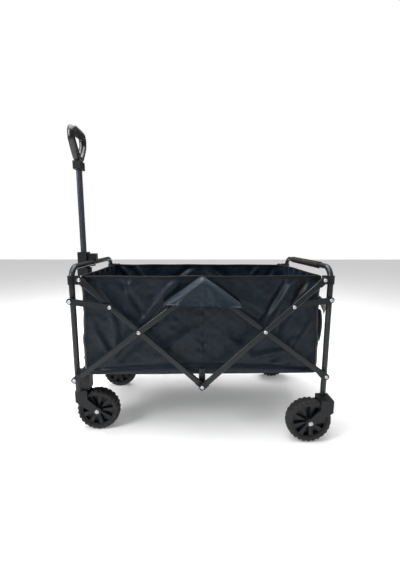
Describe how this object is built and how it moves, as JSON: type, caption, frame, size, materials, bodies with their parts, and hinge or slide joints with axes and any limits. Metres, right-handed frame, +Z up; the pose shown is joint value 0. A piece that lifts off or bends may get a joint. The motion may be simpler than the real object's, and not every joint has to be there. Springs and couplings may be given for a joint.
{
  "type": "beach cart",
  "caption": "Folding utility wagon with a fabric tub, scissor-braced tube frame, swivel casters and a telescoping pull handle.",
  "frame": {"origin": "on the ground, at the centre of the bounding box", "axes": "+X from the handle end to the rear, +Y across the cart, +Z up"},
  "size_m": [0.9494, 0.5764, 1.129],
  "materials": {
    "frame_tube": "satin black powder coat",
    "moulded_black": "fine grain moulding",
    "zinc_rivet": "bright zinc plate",
    "tub_fabric": "coated woven polyester",
    "floor_board": "fabric covered board",
    "foam_sleeve": "matte foam",
    "tyre_rubber": "matte moulded rubber",
    "handle_tube": "grey satin coat",
    "grip_plastic": "polished moulding"
  },
  "bodies": {
    "front_frame": {"front_hoop": "frame_tube", "front_crossbar": "frame_tube", "front_post_caps": "moulded_black", "front_catches": "moulded_black", "front_rivets": "zinc_rivet", "front_spacers": "moulded_black", "caster_housings": "moulded_black", "handle_bracket": "moulded_black", "handle_pin": "zinc_rivet", "tub": "tub_fabric", "floor_boards": "floor_board"},
    "lower_braces_front": {"lower_brace_front_near": "frame_tube", "lower_brace_front_far": "frame_tube", "lower_front_ends": "moulded_black", "lower_front_rivets": "zinc_rivet"},
    "lower_braces_rear": {"lower_brace_rear_near": "frame_tube", "lower_brace_rear_far": "frame_tube", "lower_rear_ends": "moulded_black", "lower_rear_rivets": "zinc_rivet"},
    "upper_braces_front": {"upper_brace_front_near": "frame_tube", "upper_brace_front_far": "frame_tube", "upper_front_ends": "moulded_black", "upper_front_pins": "zinc_rivet"},
    "upper_braces_rear": {"upper_brace_rear_near": "frame_tube", "upper_brace_rear_far": "frame_tube", "upper_rear_ends": "moulded_black", "upper_rear_pins": "zinc_rivet"},
    "links_front": {"links_front": "frame_tube", "link_rivets": "zinc_rivet"},
    "links_rear": {"links_rear": "frame_tube"},
    "floor_hanger": {"floor_hangers": "frame_tube", "floor_cross_tube": "frame_tube"},
    "rear_frame": {"rear_hoop": "frame_tube", "rear_crossbar": "frame_tube", "rear_catches": "moulded_black", "rear_rivets": "zinc_rivet", "rear_grip": "foam_sleeve", "rear_fork_near": "moulded_black", "rear_fork_far": "moulded_black", "rear_axles": "zinc_rivet"},
    "caster_near": {"front_fork_near": "moulded_black", "front_stem_near": "zinc_rivet", "front_axle_near": "zinc_rivet"},
    "caster_far": {"front_fork_far": "moulded_black", "front_stem_far": "zinc_rivet", "front_axle_far": "zinc_rivet"},
    "wheel_front_near": {"rim_front_near": "moulded_black", "tyre_front_near": "tyre_rubber"},
    "wheel_front_far": {"rim_front_far": "moulded_black", "tyre_front_far": "tyre_rubber"},
    "wheel_rear_near": {"rim_rear_near": "moulded_black", "tyre_rear_near": "tyre_rubber"},
    "wheel_rear_far": {"rim_rear_far": "moulded_black", "tyre_rear_far": "tyre_rubber"},
    "handle_lower": {"handle_base": "moulded_black", "handle_outer_tubes": "handle_tube", "handle_collar": "moulded_black"},
    "handle_upper": {"handle_inner_tubes": "handle_tube", "grip_socket": "moulded_black", "handle_grip": "grip_plastic"}
  },
  "joints": [
    {"name": "fold", "type": "hinge", "parent": "front_frame", "child": "lower_braces_front", "pos_m": [-0.41225, 0, 0.239], "axis": [0, -1, 0], "range_deg": [0, 41], "deforming": ["tub", "floor_boards"]},
    {"name": "middle_pivot", "type": "hinge", "parent": "lower_braces_front", "child": "lower_braces_rear", "pos_m": [0.01975, 0, 0.564], "axis": [0, 1, 0], "range_deg": [0, 82]},
    {"name": "rear_pivot", "type": "hinge", "parent": "lower_braces_rear", "child": "rear_frame", "pos_m": [0.45175, 0, 0.239], "axis": [0, -1, 0], "range_deg": [0, 41]},
    {"name": "front_crossing", "type": "hinge", "parent": "lower_braces_front", "child": "upper_braces_front", "pos_m": [-0.19159, 0, 0.405], "axis": [0, 1, 0], "range_deg": [0, 76.98]},
    {"name": "rear_crossing", "type": "hinge", "parent": "lower_braces_rear", "child": "upper_braces_rear", "pos_m": [0.23109, 0, 0.405], "axis": [0, -1, 0], "range_deg": [0, 76.98]},
    {"name": "front_link", "type": "hinge", "parent": "front_frame", "child": "links_front", "pos_m": [-0.41225, 0, 0.511], "axis": [0, -1, 0], "range_deg": [0, 84.05]},
    {"name": "rear_link", "type": "hinge", "parent": "rear_frame", "child": "links_rear", "pos_m": [0.45175, 0, 0.511], "axis": [0, 1, 0], "range_deg": [0, 84.05]},
    {"name": "hanger_pivot", "type": "hinge", "parent": "upper_braces_rear", "child": "floor_hanger", "pos_m": [0.01975, 0, 0.21], "axis": [0, 1, 0], "range_deg": [0, 35.98]},
    {"name": "swivel_near", "type": "hinge", "parent": "front_frame", "child": "caster_near", "pos_m": [-0.42225, -0.168, 0.162], "axis": [0, 0, 1], "continuous": true},
    {"name": "swivel_far", "type": "hinge", "parent": "front_frame", "child": "caster_far", "pos_m": [-0.42225, 0.168, 0.162], "axis": [0, 0, 1], "continuous": true},
    {"name": "spin_front_near", "type": "hinge", "parent": "caster_near", "child": "wheel_front_near", "pos_m": [-0.36725, -0.168, 0.079], "axis": [0, 1, 0], "continuous": true},
    {"name": "spin_front_far", "type": "hinge", "parent": "caster_far", "child": "wheel_front_far", "pos_m": [-0.36725, 0.168, 0.079], "axis": [0, 1, 0], "continuous": true},
    {"name": "spin_rear_near", "type": "hinge", "parent": "rear_frame", "child": "wheel_rear_near", "pos_m": [0.39675, -0.256, 0.079], "axis": [0, 1, 0], "continuous": true},
    {"name": "spin_rear_far", "type": "hinge", "parent": "rear_frame", "child": "wheel_rear_far", "pos_m": [0.39675, 0.256, 0.079], "axis": [0, 1, 0], "continuous": true},
    {"name": "handle_tilt", "type": "hinge", "parent": "front_frame", "child": "handle_lower", "pos_m": [-0.45325, 0, 0.222], "axis": [0, -1, 0], "range_deg": [0, 90]},
    {"name": "handle_slide", "type": "slide", "parent": "handle_lower", "child": "handle_upper", "axis": [0, 0, 1], "range_m": [-0.29, 0]}
  ],
  "couplings": [
    {"joint": "middle_pivot", "follows": "fold", "ratio": 2},
    {"joint": "rear_pivot", "follows": "fold", "ratio": 1},
    {"joint": "front_crossing", "follows": "fold", "ratio": 1.8763},
    {"joint": "rear_crossing", "follows": "fold", "ratio": 1.8763},
    {"joint": "front_link", "follows": "fold", "ratio": 2.0487},
    {"joint": "rear_link", "follows": "fold", "ratio": 2.0487},
    {"joint": "hanger_pivot", "follows": "fold", "ratio": 0.8763}
  ]
}
